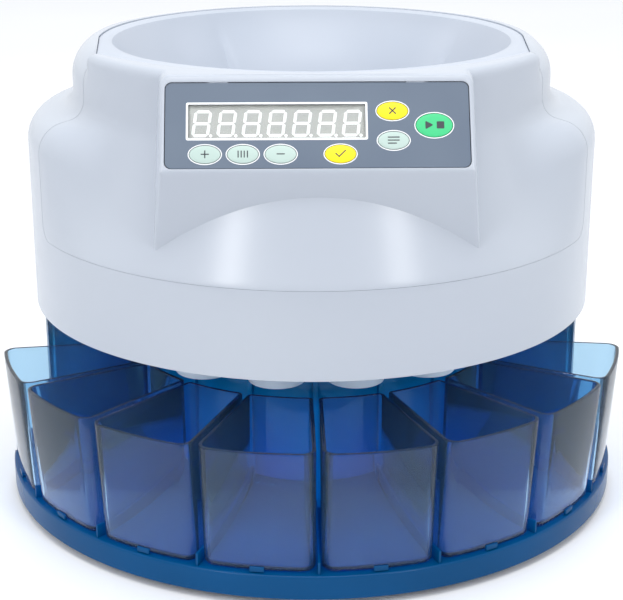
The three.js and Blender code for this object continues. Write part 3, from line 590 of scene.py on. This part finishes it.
def housing_lines(inset):
    """Outlines at the back, the side and the front, as points that match one another level by level."""
    s, t, high = SKIRT - inset, TOWER - inset, TOP - inset
    low = SKIRT_LOW
    waist, start = TOP - 20, CREASE - 4
    step = SHOULDER - inset * 0.7
    slope = (SKIRT - TOWER - 2.6) / (SHOULDER - 0.5 - CREASE)
    meet = CREASE + (s - t) / slope
    shoulder = [
        (s, start, 0), (s, step, 16 - inset), (t + 3, step + 4.5, 9 + inset), (t, step + 12, 9),
        (t, waist, 0),
    ]
    back = (
        [(s, low, 0), (s, start, 0)], shoulder,
        [(t, waist, 0), (t, high, 11 - inset), (FLANGE + GAP, high, 0)],
    )
    side = (
        [(s, low, 0), (s, start, 0)], shoulder,
        [(t, waist, 0), (t, high, 17.5 - inset), (FLANGE - 6, high, 0)],
    )
    front = (
        [(s, low, 0), (s, start, 0)],
        [(s, start, 0), (s, CREASE, 9), (t, meet, 22), (t, waist, 0)],
        [(t, waist, 0), (t, high, 4 - inset * 0.5), (FLANGE + GAP, high, 0)],
    )
    counts = (10, 34, 20)
    lines = []
    for outline in (back, side, front):
        line = []
        for corner_list, count in zip(outline, counts):
            points = spread(rounded(corner_list, turn=6), count)
            line += points if not line else points[1:]
        lines.append(line)
    return lines


# Angles from the front, over which one outline gives way to the next: side to back, and slope to side
# low down on the skirt and high up on the tower
BACK_FADE, LOW_FADE, HIGH_FADE = (84, 118), (44, 66), (62.5, 66.5)


def housing_skin():
    """The whole round housing as a thin shell, its front pulled in to the slope."""
    outer, inner = housing_lines(0.0), housing_lines(WALL)
    back, side, front = [out + ins[::-1] for out, ins in zip(outer, inner)]
    rims = {len(outer[0]) - 1, len(outer[0])}
    bm = bmesh.new()
    keys = ("side_r", "side_z", "front_r", "front_z", "rim")
    layers = {key: bm.verts.layers.float.new(key) for key in keys}
    verts = []
    for i, (at_back, at_side, at_front) in enumerate(zip(back, side, front)):
        vert = bm.verts.new(polar(at_back.x, 0, at_back.y))
        for key, value in zip(keys, (*at_side, *at_front, float(i in rims))):
            vert[layers[key]] = value
        verts.append(vert)
    edges = [bm.edges.new(pair) for pair in zip(verts, verts[1:] + verts[:1])]
    spin_round(bm, verts + edges, 240)
    for vert in bm.verts:
        x, y, z = vert.co
        angle = math.degrees(math.atan2(x, -y))
        a = abs(angle)
        radius = math.hypot(x, y)
        behind = ease(a, *BACK_FADE)
        radius = lerp(vert[layers["side_r"]], radius, behind)
        z = lerp(vert[layers["side_z"]], z, behind)
        low_share = 1 - ease(a, *LOW_FADE)
        high_share = 1 - ease(a, *HIGH_FADE)
        share = lerp(low_share, high_share, ease(z, SHOULDER + 8, SHOULDER + 16))
        radius = lerp(radius, vert[layers["front_r"]], share)
        z = lerp(z, vert[layers["front_z"]], share)
        rim = mouth_edge(angle)
        if vert[layers["rim"]] > 0.5:
            radius = rim
        elif z > TOP - WALL - 0.5:
            radius = max(radius, rim + 0.04)
        vert.co = polar(radius, angle, z)
    return bm


def cover_region(grow):
    """A wedge that holds the front cover, with the lower corners of the seam rounded."""
    half, reach, radius = 66.0 + math.degrees(grow / SKIRT), 2 * SKIRT, 9.0
    grow *= 0.3
    angles = [-half + 2 * half * i / 12 for i in range(13)]
    plan = [Vector((0, 0, 0))] + [polar(reach, a) for a in angles]
    bm = stack([[p + Vector((0, 0, z)) for p in plan] for z in (CREASE - grow, TOP + 20)])
    for sign in (-1, 1):
        angle = sign * half
        # the space under the corner's arc, seen along the radius
        spots = [(4.0, -4.0), (4.0, radius), (0.0, radius)]
        arc = [(-radius + radius * math.cos(t), radius - radius * math.sin(t)) for t in quarter(6)]
        spots += arc[1:] + [(-radius, -4.0)]
        out = polar(1, angle)
        tangent = Vector((math.cos(math.radians(angle)), math.sin(math.radians(angle)), 0)) * sign
        loops = []
        for distance in (SKIRT - 40, SKIRT + 40):
            base = out * distance + Vector((0, 0, CREASE - grow))
            loops.append([base + tangent * u + Vector((0, 0, v)) for u, v in spots])
        bm = combined(bm, stack(loops), "DIFFERENCE")
    return bm


def cut_flat(bm, point, normal):
    """Cuts away what lies past a plane and closes the cut."""
    everything = bm.verts[:] + bm.edges[:] + bm.faces[:]
    cut = bmesh.ops.bisect_plane(bm, geom=everything, plane_co=point, plane_no=normal, clear_outer=True)
    rim = [g for g in cut["geom_cut"] if isinstance(g, bmesh.types.BMEdge)]
    bmesh.ops.holes_fill(bm, edges=rim, sides=0)


def console_block():
    """The console: a tapering block behind the sloping face, with the recess for its film."""
    depth, taper, tall, reach = 62.0, 0.143, 140.0, -96.0
    wide = BEZEL_WIDTH / 2
    bm = bmesh.new()
    bmesh.ops.create_cube(bm, size=1.0)
    for vert in bm.verts:
        at = 0.0 if vert.co.z > 0 else -depth
        across, up = math.copysign(wide - taper * at, vert.co.x), math.copysign(tall / 2, vert.co.y)
        vert.co = Vector((across, up, at))
    bm.transform(PANEL)
    tilt = math.radians(20)
    lower = PANEL @ Vector((0, -BEZEL_HEIGHT / 2, 0))
    underside = Vector((0, -math.cos(tilt), -math.sin(tilt)))
    cut_flat(bm, Vector((0, 0, TOP)), Vector((0, 0, 1)))
    cut_flat(bm, lower, underside)
    cut_flat(bm, Vector((0, 0, CREASE + 8)), Vector((0, 0, -1)))
    cut_flat(bm, Vector((0, reach, 0)), Vector((0, 1, 0)))
    bmesh.ops.recalc_face_normals(bm, faces=bm.faces)
    to_panel = PANEL.inverted()

    def on_face(edge):
        return all(abs((to_panel @ v.co).z) < 0.1 for v in edge.verts)

    def visible(edge):
        ends = [v.co for v in edge.verts]
        hidden = all(p.y > reach - 0.1 for p in ends) or all(p.z < CREASE + 8.1 for p in ends)
        return not hidden and not on_face(edge)

    def face_corner(edge):
        ends = [v.co for v in edge.verts]
        across = abs(ends[0].x - ends[1].x) > 20
        return visible(edge) and not across and min(p.z for p in ends) > TOP - 0.1

    round_edges(bm, 4.5, pick=face_corner, segments=6)
    round_edges(bm, 1.6, pick=lambda e: visible(e) or on_face(e), segments=5, least=22)
    around = range(-180, 180, 3)
    mouth = stack([[polar(mouth_edge(a), a, z) for a in around] for z in (CREASE, TOP + 5)])
    bm = combined(bm, mouth, "DIFFERENCE")
    recess = plate([rectangle(OVERLAY_WIDTH + 0.8, OVERLAY_HEIGHT + 0.8, 3.4)], -RECESS, 20)
    recess.transform(PANEL)
    bm = combined(bm, recess, "DIFFERENCE")

    def recess_edge(edge):
        half_width, half_height = OVERLAY_WIDTH / 2 + 0.5, OVERLAY_HEIGHT / 2 + 0.5
        spots = [to_panel @ v.co for v in edge.verts]
        inside = all(abs(p.x) < half_width and abs(p.y) < half_height for p in spots)
        return inside and all(abs(p.z) < 0.05 for p in spots)

    round_edges(bm, 0.5, pick=recess_edge, segments=3)
    return bm


def face_clearance():
    """The room before the console's face, and the recess in it, that the tower's wall must leave free."""
    w, h = BEZEL_WIDTH / 2, BEZEL_HEIGHT / 2
    ahead = box((-w + 0.5, -h + 3, -0.6), (w - 0.5, 2 * h, BEZEL_HEIGHT))
    w, h = OVERLAY_WIDTH / 2, OVERLAY_HEIGHT / 2
    recess = box((-w, -h, -RECESS), (w, h, 1))
    whole = combined(ahead, recess, "UNION")
    whole.transform(PANEL)
    return whole


def make_housing():
    skin = housing_skin()
    spare = skin.copy()
    cover = combined(skin, cover_region(0.0), "INTERSECT")
    cover = combined(cover, face_clearance(), "DIFFERENCE")
    cover = combined(cover, console_block(), "UNION")
    settle(cover, "front_cover_shell", HOUSING_ABS, stands_for=("front_cover",), smooth=30)
    body = combined(spare, cover_region(0.5), "DIFFERENCE")
    low, high = corners("rear_panel")
    opening = box((low.x - GAP, low.y - 30, low.z - GAP), (high.x + GAP, high.y + 30, high.z + GAP))
    body = combined(body, opening, "DIFFERENCE")
    settle(body, "main_housing_shell", HOUSING_ABS, stands_for=("main_housing",), smooth=30)


# ---- Hopper ----
def bowl_pull(angle):
    """How far the bowl's wall leaves its cone: a flat facet at the left rear, and a back that stands in."""
    start, end, right, soft, stand = -149.5, -128.7, 125.5, 1.6, 0.045
    half = (end - start) / 2
    from_middle = min(abs(angle - start - half), half)
    chord = math.cos(math.radians(half)) / math.cos(math.radians(from_middle))
    behind = max(ease(angle, right - soft, right + soft), 1 - ease(angle, start - soft, start + soft))
    return min(chord, 1.0) * (1 - stand * behind)


def make_hopper():
    r, top, low = BOWL_RIM, TOP, HOPPER_LOW
    wall = [
        (FLANGE, top, 0.8), (r + 1.0, top, 2.2), (r - 3.4, top - 8.5, 9), (THROAT + 2, low + 19, 6),
        (THROAT, low, 0),
    ]
    inside = rounded(wall, turn=10)
    under = [(THROAT + 2.4, low), (THROAT + 4.6, low + 18.4), (r - 1.1, top - 8.5), (r + 1.5, top - 3.4)]
    lip = [(FLANGE, top - 3.4), (FLANGE, top - 0.8)]
    outline = lip + [(p.x, p.y) for p in spread(inside, 40)][1:] + under
    lap = 1.6  # the flange's plan starts this far out from the bowl's rim
    bm = spun(outline, 240)
    for vert in bm.verts:
        x, y, z = vert.co
        angle, radius = math.degrees(math.atan2(x, -y)), math.hypot(x, y)
        if radius > r + lap:
            edge = lerp(r + lap, flange_edge(angle), (radius - r - lap) / (FLANGE - r - lap))
            vert.co = polar(edge, angle, z)
        elif z > low + 1 and radius > THROAT:
            depth = ease(top - 3 - z, 0, 30)
            vert.co = polar(radius * lerp(1, bowl_pull(angle), depth), angle, z)
    settle(bm, "hopper_bowl", HOPPER_ABS, stands_for=("hopper",), smooth=26)


# ---- Console face ----
# The window's width, height and centre, and each key's centre, width and height, on the panel's plane
WINDOW = (83.8, 16.5, -19.3, 2.05)
KEYS = {
    "plus": (-53.4, -14.5, 14.7, 8.9), "batch": (-35.5, -14.5, 14.7, 8.9), "minus": (-17.6, -14.5, 14.7, 8.9),
    "set": (10.7, -14.5, 14.7, 8.9), "clear": (35.7, 6.9, 14.7, 8.9), "report": (36.0, -7.9, 14.7, 8.9),
    "start": (55.5, -0.4, 17.5, 11.8),
}
KEY_MATERIALS = {"set": KEY_YELLOW, "clear": KEY_YELLOW, "start": KEY_GREEN}
KEY_DOME = 0.45
PRINT_LOW, PRINT_HIGH = OVERLAY_FACE + 0.01, OVERLAY_FACE + 0.06


def bar(x0, y0, x1, y1, width, low, high):
    """A printed stroke with round ends."""
    a, b = Vector((x0, y0)), Vector((x1, y1))
    along = (b - a).normalized() * width / 2
    out = []
    for end, start in ((b, -math.pi / 2), (a, math.pi / 2)):
        out += [end + Matrix.Rotation(start + math.pi * k / 6, 2) @ along for k in range(7)]
    return plate([out], low, high)


def key_signs(name, x, y, low, high):
    """The sign printed on a key."""
    w = 0.55
    strokes = {
        "plus": [(-1.7, 0, 1.7, 0), (0, -1.7, 0, 1.7)],
        "minus": [(-1.7, 0, 1.7, 0)],
        "batch": [(at, -1.5, at, 1.5) for at in (-2.2, -0.75, 0.7, 2.2)],
        "set": [(-2.2, 0.1, -0.7, -1.4), (-0.7, -1.4, 2.3, 1.6)],
        "clear": [(-1.4, -1.4, 1.4, 1.4), (-1.4, 1.4, 1.4, -1.4)],
        "report": [(-2.6, 1.5, 2.6, 1.5), (-2.6, 0, 2.6, 0), (-2.6, -1.5, 1.2, -1.5)],
        "start": [],
    }[name]
    parts = [bar(x + a, y + b, x + c, y + d, w, low, high) for a, b, c, d in strokes]
    if name == "start":
        spots = [(x - 4.3, y - 2.2, 0.4), (x - 0.4, y, 0.4), (x - 4.3, y + 2.2, 0.4)]
        parts.append(plate([rounded(spots, closed=True, turn=30)], low, high))
        parts.append(plate([rectangle(3.6, 3.6, 0.4, x + 2.9, y)], low, high))
    return parts


def make_keys():
    # how far each ring of a cap stands in from its outline, and its height above the film
    levels = [
        (0.0, -2.6), (0.0, 0.0), (-0.18, 0.22), (-0.6, KEY_DOME - 0.12), (-1.6, KEY_DOME),
        (-3.2, KEY_DOME + 0.05),
    ]
    for name, (x, y, w, h) in KEYS.items():
        loops = [[(p.x, p.y, z + OVERLAY_FACE) for p in ellipse(w, h, x, y, grow)] for grow, z in levels]
        cap = KEY_MATERIALS.get(name, KEY_MINT)
        settle(stack(loops), f"key_cap_{name}", cap, f"key_{name}", (f"key_{name}",), on_panel=True)
        face = OVERLAY_FACE + KEY_DOME + 0.03
        signs = merge(key_signs(name, x, y, face, face + 0.06))
        settle(signs, f"key_sign_{name}", PRINT_DARK, f"key_{name}", smooth=60, on_panel=True)


def seven_segments(x, y, width, height, slant, low, high):
    """One digit of the display: seven bars leaning to the right, and its point."""
    thick, gap = 1.35, 0.22
    middle_y, upper = height / 2, height
    ends = [
        ((0, 0), (width, 0)), ((0, middle_y), (width, middle_y)), ((0, upper), (width, upper)),
        ((0, 0), (0, middle_y)), ((width, 0), (width, middle_y)),
        ((0, middle_y), (0, upper)), ((width, middle_y), (width, upper)),
    ]
    parts = []
    for a, b in ends:
        a, b = Vector(a), Vector(b)
        along = (b - a).normalized()
        across = Vector((-along.y, along.x)) * thick / 2
        a, b = a + along * gap, b - along * gap
        tip = along * thick / 2
        shape = [a, a + tip - across, b - tip - across, b, b - tip + across, a + tip + across]
        parts.append(plate([[(x + p.x + p.y * slant, y + p.y) for p in shape]], low, high))
    parts.append(plate([ellipse(1.5, 1.5, x + width + 1.55, y - 0.1, steps=16)], low, high))
    return parts


def make_face():
    w, h, cx, cy = WINDOW
    hole = rectangle(w + 0.5, h + 0.5, 0.6, cx, cy)
    holes = [ellipse(kw, kh, kx, ky, 0.25) for kx, ky, kw, kh in KEYS.values()]
    film = OVERLAY_FACE - 0.8
    sheet = plate([rectangle(OVERLAY_WIDTH, OVERLAY_HEIGHT, 3.2), hole] + holes, film, OVERLAY_FACE)
    settle(
        sheet, "console_overlay", OVERLAY_FILM, stands_for=("panel_overlay",), on_panel=True
    )

    line = 1.25
    prints = [plate([rectangle(w + 2 * line, h + 2 * line, 0.9, cx, cy), hole], PRINT_LOW, PRINT_HIGH)]
    for kx, ky, kw, kh in KEYS.values():
        rings = [ellipse(kw, kh, kx, ky, 0.75), ellipse(kw, kh, kx, ky, 0.27)]
        prints.append(plate(rings, PRINT_LOW, PRINT_HIGH))
    settle(merge(prints), "overlay_white_lines", PRINT_WHITE, smooth=60, on_panel=True)

    ground = plate([rectangle(w + 3, h + 3, 0.6, cx, cy)], -3.2, -2.2)
    settle(
        ground, "display_face", DISPLAY_GROUND, stands_for=("display_module",),
        on_panel=True,
    )
    digits = []
    for i in range(7):
        digits += seven_segments(-59.3 + 11.9 * i, -4.6, 7.0, 12.0, 0.13, -2.19, -2.1)
    settle(merge(digits), "display_segments", SEGMENT_WHITE, smooth=60, on_panel=True)
    pane = plate([rectangle(w, h, 0.5, cx, cy)], film, OVERLAY_FACE - 0.05)
    settle(pane, "display_pane", WINDOW_PC, stands_for=("display_window",), on_panel=True)


# ---- Cups ----
def cup_ring(front, inset, z):
    """The plan of one cup centred on the front, drawn inward by inset."""
    half = CUP_PITCH / 2
    margin = 1.4 + inset
    outer, inner = front - inset, CUP_REAR + inset

    def corner(radius, size, sign):
        reach = radius - sign * size
        angle = half - math.degrees(math.asin((margin + size) / reach))
        centre = polar(reach, angle)
        start = angle - 90 if sign > 0 else half
        end = half if sign > 0 else angle + 90
        turns = [math.radians(lerp(start, end, i / 6)) for i in range(7)]
        return [Vector((centre.x + size * math.cos(t), centre.y + size * math.sin(t), z)) for t in turns]

    right = corner(outer, max(7 - inset, 1), 1) + corner(inner, max(3 - inset, 0.8), -1)
    left = [Vector((-p.x, p.y, z)) for p in reversed(right)]
    edge = math.degrees(math.asin(right[0].x / outer))
    middle_arc = [polar(outer, edge * k / 5, z) for k in range(-4, 5)]
    rear_edge = math.degrees(math.asin(right[-1].x / inner))
    rear_arc = [polar(inner, rear_edge * k / 3, z) for k in (2, 1, 0, -1, -2)]
    return middle_arc + right + rear_arc + left


def cup_shell():
    """One cup: drafted walls, a rounded rim, and a rounded foot inside and out."""
    foot, round_in, lip, nick = 2.6, 2.0, 0.7, 0.2
    top, floor = CUP_TOP, CUP_LOW + CUP_WALL
    levels = [(foot * (1 - math.sin(t)), foot * (1 - math.cos(t))) for t in quarter(4)]
    outside = [(inset, CUP_LOW + z) for inset, z in levels] + [(0.0, top - lip), (nick, top - nick)]
    rim = [(lip, top), (CUP_WALL - lip, top), (CUP_WALL - nick, top - nick), (CUP_WALL, top - lip)]
    inside = [
        (CUP_WALL + round_in * (1 - math.cos(t)), floor + round_in * (1 - math.sin(t))) for t in quarter(4)
    ]

    def front(z):
        return lerp(CUP_FOOT, CUP_RIM, (z - CUP_LOW) / (CUP_TOP - CUP_LOW))

    return stack([cup_ring(front(z), inset, z) for inset, z in outside + rim + inside])


def make_cups():
    shell = cup_shell()
    tab = box((-3.7, -CUP_FOOT - 1.0, CUP_LOW + 0.2), (3.7, -CUP_FOOT + 0.6, CUP_LOW + 3))
    round_edges(tab, 0.4)
    for i, angle in enumerate(CUP_ANGLES, 1):
        cup = turned(shell.copy(), angle)
        settle(cup, f"cup_shell_{i}", CUP_STYRENE, f"cup_{i}", (f"coin_cup_{i}",), smooth=40)
        settle(turned(tab.copy(), angle), f"cup_tab_{i}", TRAY_ABS, f"cup_{i}")
    shell.free()
    tab.free()


# ---- Tray, column and rear shell ----
def arc_line(radius, start, end, step=2.0):
    count = max(2, round(abs(end - start) / step))
    return [polar(radius, lerp(start, end, k / count)) for k in range(count + 1)]


def tray_plan(inset, z):
    front, rear, angle = TRAY_FRONT - inset, TRAY_REAR - inset, TRAY_ANGLE
    plan = arc_line(front, -angle + inset * 0.35, angle - inset * 0.35, 1.5)
    plan += arc_line(rear, angle - inset * 0.35, 360 - angle + inset * 0.35, 2.0)
    return [Vector((p.x, p.y, z)) for p in plan]


def make_tray():
    wall, soft = 3.0, 1.2
    levels = [(wall, TRAY_TOP - wall), (wall, TRAY_LOW), (0.5, TRAY_LOW), (0, TRAY_LOW + 0.5)]
    levels += [(soft * (1 - math.cos(t)), TRAY_TOP - soft + soft * math.sin(t)) for t in quarter(4)]
    parts = [stack([tray_plan(inset, z) for inset, z in levels])]
    for angle in RIB_ANGLES:
        if abs(angle) < TRAY_ANGLE - 1:
            rib = box((-0.7, -TRAY_FRONT + 1.6, TRAY_TOP - 1), (0.7, -CUP_REAR, TRAY_TOP + 7))
            parts.append(turned(round_edges(rib, 0.35, segments=2), angle))
    settle(merge(parts), "tray_moulding", TRAY_ABS, stands_for=("base_tray",), smooth=35)


def make_column():
    low, high = corners("inner_column")[0].z, corners("inner_column")[1].z
    end = TRAY_ANGLE + 0.7
    plan = arc_line(COLUMN, -end, end) + arc_line(COLUMN - WALL, end, -end)
    wall = stack([[Vector((p.x, p.y, z)) for p in plan] for z in (low, high)])
    parts = [round_edges(wall, 0.4, segments=2, least=50)]
    for angle in RIB_ANGLES:
        rib = box((-1.5, -COLUMN - 2.2, low), (1.5, -COLUMN + 0.5, high))
        parts.append(turned(round_edges(rib, 0.6, segments=2), angle))
    settle(merge(parts), "column_wall", COLUMN_PC, stands_for=("inner_column",))

    low, high = corners("rear_shell")[0].z, corners("rear_shell")[1].z
    start, stop = TRAY_ANGLE + 1.2, 360 - TRAY_ANGLE - 1.2
    near, far, thick = COLUMN + 1.5, TRAY_REAR, 2.5
    soft, cut = 5.0, 1.3
    lean = math.degrees(soft / far)
    bend = lean * 0.35
    outer = [polar(near, start), polar(far - soft, start), polar(far - cut, start + bend)]
    outer += arc_line(far, start + lean, stop - lean)
    outer += [polar(far - cut, stop - bend), polar(far - soft, stop), polar(near, stop)]
    # the inner face, with the wall's thickness as an angle near and far from the axis
    chamfer = far - cut - thick
    inner = [polar(near, stop - 1.45), polar(far - soft, stop - 1.0), polar(chamfer, stop - 1.2 - bend)]
    inner += arc_line(far - thick, stop - 1.0 - lean, start + 1.0 + lean)
    inner += [polar(chamfer, start + 1.2 + bend), polar(far - soft, start + 1.0), polar(near, start + 1.45)]
    shell = stack([[Vector((p.x, p.y, z)) for p in outer + inner] for z in (low, high)])
    round_edges(shell, 0.4, segments=2, least=60)
    settle(shell, "rear_shell_moulding", SHELL_PC, stands_for=("rear_shell",))


def make_outlets():
    low, high = corners("coin_outlet_1")[0].z, corners("coin_outlet_1")[1].z
    tube, bore, wide = 15.0, 13.5, 16.2
    outline = [
        (tube, low + 0.8), (tube, high), (bore, high), (bore, low + 0.8), (13.9, low + 0.15), (14.2, low),
        (14.6, low), (14.85, low + 0.2),
    ]
    under, over = SKIRT_LOW + 4.0, SKIRT_LOW + 5.2
    flange = [(wide, under), (wide, over), (tube - 0.2, over), (tube - 0.2, under)]
    for i, angle in enumerate(CUP_ANGLES, 1):
        outlet = merge([spun(outline, 64), spun(flange, 64)])
        outlet = turned(moved(outlet, y=-OUTLET_CENTRE), angle)
        node = (f"coin_outlet_{i}",)
        settle(outlet, f"outlet_tube_{i}", WHITE_ACETAL, stands_for=node)


# ---- Sorting drive ----
def make_drive():
    low, high = corners("coin_disc")
    radius, under, top = high.x, high.z - 7, high.z
    face = top - 4
    hub, bore = 14.0, 4.3
    corner_list = [
        (hub, low.z, 0), (hub, under + 0.01, 0), (radius, under, 0.5), (radius, face, 0.8),
        (hub + 8, face, 4), (hub, top, 1.2), (bore, top, 0), (bore, low.z, 0),
    ]
    disc = spun([(p.x, p.y) for p in rounded(corner_list, closed=True, turn=20)], 144)
    paddles = []
    for k in range(3):
        ridge = box((hub + 3, -1.6, face - 0.4), (radius - 6, 1.6, face + 1.4))
        paddles.append(turned(round_edges(ridge, 0.7), 120 * k + 15))
    settle(merge([disc] + paddles), "sorting_disc", TRACK_ALUMINIUM, "disc_drive", ("coin_disc",))
    low, high = corners("disc_cap")
    corner_list = [
        (0, high.z, 0), (8, high.z - 0.5, 3), (high.x, low.z + 4, 2), (high.x, low.z, 0.4), (0, low.z, 0),
    ]
    knob = spun([(p.x, p.y) for p in reversed(rounded(corner_list, turn=15))], 64)
    settle(knob, "disc_hub_cap", BLACK_ABS, "disc_drive", ("disc_cap",))


# ---- Rear, underside and inner pieces that keep the frame's shape ----
def make_small_pieces():
    refined("sorting_plate", "sorting_track", TRACK_ALUMINIUM, edge=0.3)
    refined("chassis_deck", "deck_plate", WHITE_ACETAL, edge=0.3)
    refined("rear_panel", "connector_panel", BLACK_ABS, edge=0.5)
    refined("power_inlet", "mains_inlet", BLACK_ABS, edge=0.35)
    refined("data_port", "data_socket", STEEL, edge=0.3)
    refined("switch_housing", "switch_surround", BLACK_ABS, edge=0.4)
    refined("power_rocker", "switch_rocker", BLACK_ABS, "rocker", edge=0.8, segments=3)
    refined("base_plate", "underside_plate", STEEL, edge=0.4)
    refined("power_supply", "supply_case", BLACK_ABS, edge=1.2)
    refined("main_board", "console_board", BOARD, edge=0.2)
    low, high = corners("rubber_foot_1")
    radius = (high.x - low.x) / 2
    corner_list = [
        (0, 0, 0), (radius - 3, 0, 0), (radius - 2.2, 0.7, 0.5), (radius - 1.2, 0, 1.0),
        (radius, high.z, 0.4), (0, high.z, 0),
    ]
    outline = rounded(corner_list, turn=20)
    for i in range(1, 5):
        spot = (middle(f"rubber_foot_{i}") - Vector((0, AXIS_Y, 0))) / MM
        foot = moved(spun([(p.x, p.y) for p in outline], 48), spot.x, spot.y)
        settle(foot, f"foot_{i}", FOOT_RUBBER, stands_for=(f"rubber_foot_{i}",))
    finishes = {
        "steel": STEEL, "track": TRACK_ALUMINIUM, "circuit_board": BOARD, "white_plastic": WHITE_ACETAL,
        "black_plastic": BLACK_ABS,
    }
    hidden = {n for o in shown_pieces() if "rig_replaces" in o for n in o["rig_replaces"]}
    for part in frame["record"]["subparts"]:
        obj = frame["nodes"][part["node"]]
        if part["node"] in hidden or part["material_slot"] not in finishes:
            continue
        obj.data.materials.clear()
        obj.data.materials.append(finishes[part["material_slot"]])


# ---- Stage ----
def make_stage():
    scene = bpy.context.scene
    bm = bmesh.new()
    # the sheet runs far back, and stops short in front so that it doesn't light the machine from below
    half_width, behind, ahead = 4.0, 8.0, 0.62
    bmesh.ops.create_grid(bm, x_segments=1, y_segments=1, size=1.0)
    for vert in bm.verts:
        vert.co = Vector((vert.co.x * half_width, behind if vert.co.y > 0 else -ahead, 0))
    mesh = bpy.data.meshes.new("floor")
    bm.to_mesh(mesh)
    bm.free()
    mesh.materials.append(moulded("pale_floor", "F4F5F7", "F1F2F5", (0.6, 0.7), 5.0, 0.0, 400.0))
    floor = bpy.data.objects.new("floor", mesh)
    scene.collection.objects.link(floor)

    world = bpy.data.worlds.new("studio")
    scene.world = world
    world.use_nodes = True
    tree = world.node_tree
    direction = add(tree, "ShaderNodeTexCoord").outputs["Generated"]
    parts = add(tree, "ShaderNodeSeparateXYZ", None, {"Vector": direction})
    # a white sweep behind and beside the machine; the near side is dim low down and light high up
    sweep = add(
        tree, "ShaderNodeMapRange", {"interpolation_type": "SMOOTHSTEP"},
        {"Value": parts.outputs["Y"], "From Min": -0.75, "From Max": 0.1, "To Min": 0.0, "To Max": 1.0},
    ).outputs["Result"]
    sky = add(
        tree, "ShaderNodeMapRange", {"interpolation_type": "SMOOTHSTEP"},
        {"Value": parts.outputs["Z"], "From Min": 0.0, "From Max": 0.8, "To Min": 0.14, "To Max": 1.0},
    ).outputs["Result"]
    level = add(tree, "ShaderNodeMix", {"data_type": "FLOAT"}, {"Factor": sweep, "A": sky, "B": 1.1})
    background = tree.nodes["Background"]
    background.inputs["Color"].default_value = (0.97, 0.985, 1.0, 1.0)
    tree.links.new(level.outputs["Result"], background.inputs["Strength"])

    # each lamp's bearing, rise, distance, size and power
    aim = Vector((0, 0, 0.17))
    lamps = {
        "strip_left": (-33, 27, 1.5, (0.22, 0.75), 5.4),
        "strip_right": (34, 27, 1.5, (0.22, 0.75), 4.4),
        "front_top": (0, 68, 1.6, (0.9, 0.5), 7.0),
        "top": (170, 70, 1.8, (1.0, 1.0), 4.0),
    }
    for name, (azimuth, rise, far, size, power) in lamps.items():
        lamp = bpy.data.lights.new(name, "AREA")
        lamp.shape, lamp.size, lamp.size_y, lamp.energy = "RECTANGLE", *size, power
        obj = bpy.data.objects.new(name, lamp)
        flat = far * math.cos(math.radians(rise))
        obj.location = aim + polar(flat, azimuth, far * math.sin(math.radians(rise)))
        obj.rotation_euler = (aim - obj.location).to_track_quat("-Z", "Y").to_euler()
        scene.collection.objects.link(obj)

    # fitted to the machine's outlines
    distance, height, pitch, turn = 0.8533, 0.3892, math.radians(18.6), math.radians(-1.25)
    camera = bpy.data.cameras.new("camera")
    camera.sensor_width = 36.0
    camera.lens = 89.2
    obj = bpy.data.objects.new("camera", camera)
    obj.location = (distance * math.sin(turn), AXIS_Y - distance * math.cos(turn), height)
    obj.rotation_euler = (math.pi / 2 - pitch, 0, turn)
    scene.collection.objects.link(obj)
    scene.camera = obj
    scene.view_settings.view_transform = "Standard"
    scene.cycles.max_bounces = 20
    scene.cycles.transmission_bounces = 18
    scene.cycles.transparent_max_bounces = 16


make_housing()
make_hopper()
make_face()
make_keys()
make_cups()
make_tray()
make_column()
make_outlets()
make_drive()
make_small_pieces()
make_stage()
